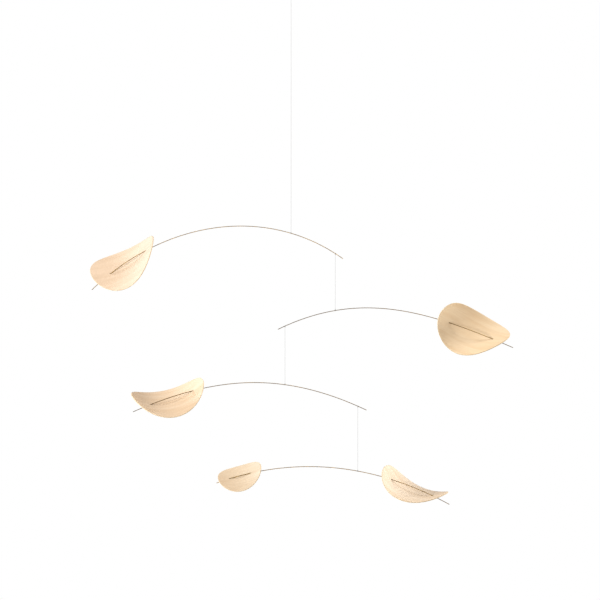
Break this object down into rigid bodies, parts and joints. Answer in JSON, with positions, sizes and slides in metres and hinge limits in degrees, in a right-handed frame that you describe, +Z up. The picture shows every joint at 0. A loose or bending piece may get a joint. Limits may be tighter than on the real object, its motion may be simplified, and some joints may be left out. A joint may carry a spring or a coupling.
{
  "type": "hanging mobile sculpture",
  "caption": "Hanging mobile: arched brass wires hang one under the other on fine threads and balance thin curved leaves of pale wood veneer.",
  "frame": {"origin": "centre of the flat top of the ceiling button, where it meets the ceiling", "axes": "+Z up along the top thread, +Y from the front view into the scene, +X to the right of that view"},
  "size_m": [0.6466, 0.2221, 0.7817],
  "materials": {
    "brass": "drawn wire, dull",
    "veneer": "sanded, matt",
    "thread": "fine pale thread"
  },
  "bodies": {
    "ceiling": {"ceiling_button": "brass"},
    "thread_1": {"thread_1": "thread", "knot_1_bottom": "thread"},
    "arm_1": {"wire_1": "brass", "leaf_1": "veneer"},
    "hanger_2": {"knot_2_top": "thread"},
    "thread_2": {"thread_2": "thread", "knot_2_bottom": "thread"},
    "arm_2": {"wire_2": "brass", "leaf_2": "veneer"},
    "hanger_3": {"knot_3_top": "thread"},
    "thread_3": {"thread_3": "thread", "knot_3_bottom": "thread"},
    "arm_3": {"wire_3": "brass", "leaf_3": "veneer"},
    "hanger_4": {"knot_4_top": "thread"},
    "thread_4": {"thread_4": "thread", "knot_4_bottom": "thread"},
    "arm_4": {"wire_4": "brass", "leaf_4": "veneer", "leaf_5": "veneer"}
  },
  "joints": [
    {"name": "swivel_1", "type": "hinge", "parent": "ceiling", "child": "thread_1", "pos_m": [0, 0, -0.368], "axis": [0, 0, 1], "continuous": true},
    {"name": "rock_1", "type": "hinge", "parent": "thread_1", "child": "arm_1", "pos_m": [0, 0, -0.368], "axis": [0.3469, 0.9379, 0], "range_deg": [-15, 15]},
    {"name": "plumb_2", "type": "hinge", "parent": "arm_1", "child": "hanger_2", "pos_m": [0.06737, -0.02492, -0.39894], "axis": [0.3469, 0.9379, 0], "range_deg": [-15, 15]},
    {"name": "swivel_2", "type": "hinge", "parent": "hanger_2", "child": "thread_2", "pos_m": [0.06737, -0.02492, -0.48584], "axis": [0, 0, 1], "continuous": true},
    {"name": "rock_2", "type": "hinge", "parent": "thread_2", "child": "arm_2", "pos_m": [0.06737, -0.02492, -0.48584], "axis": [-0.0087, 1, 0], "range_deg": [-15, 15]},
    {"name": "plumb_3", "type": "hinge", "parent": "arm_2", "child": "hanger_3", "pos_m": [-0.00926, -0.02559, -0.50954], "axis": [-0.0087, 1, 0], "range_deg": [-15, 15]},
    {"name": "swivel_3", "type": "hinge", "parent": "hanger_3", "child": "thread_3", "pos_m": [-0.00926, -0.02559, -0.59894], "axis": [0, 0, 1], "continuous": true},
    {"name": "rock_3", "type": "hinge", "parent": "thread_3", "child": "arm_3", "pos_m": [-0.00926, -0.02559, -0.59894], "axis": [-0.2284, 0.9736, 0], "range_deg": [-15, 15]},
    {"name": "plumb_4", "type": "hinge", "parent": "arm_3", "child": "hanger_4", "pos_m": [0.10176, 0.00045, -0.6318], "axis": [-0.2284, 0.9736, 0], "range_deg": [-15, 15]},
    {"name": "swivel_4", "type": "hinge", "parent": "hanger_4", "child": "thread_4", "pos_m": [0.10176, 0.00045, -0.7309], "axis": [0, 0, 1], "continuous": true},
    {"name": "rock_4", "type": "hinge", "parent": "thread_4", "child": "arm_4", "pos_m": [0.10176, 0.00045, -0.7309], "axis": [0.3486, 0.9373, 0], "range_deg": [-15, 15]}
  ],
  "couplings": [
    {"joint": "plumb_2", "follows": "rock_1", "ratio": -1},
    {"joint": "plumb_3", "follows": "rock_2", "ratio": -1},
    {"joint": "plumb_4", "follows": "rock_3", "ratio": -1}
  ]
}
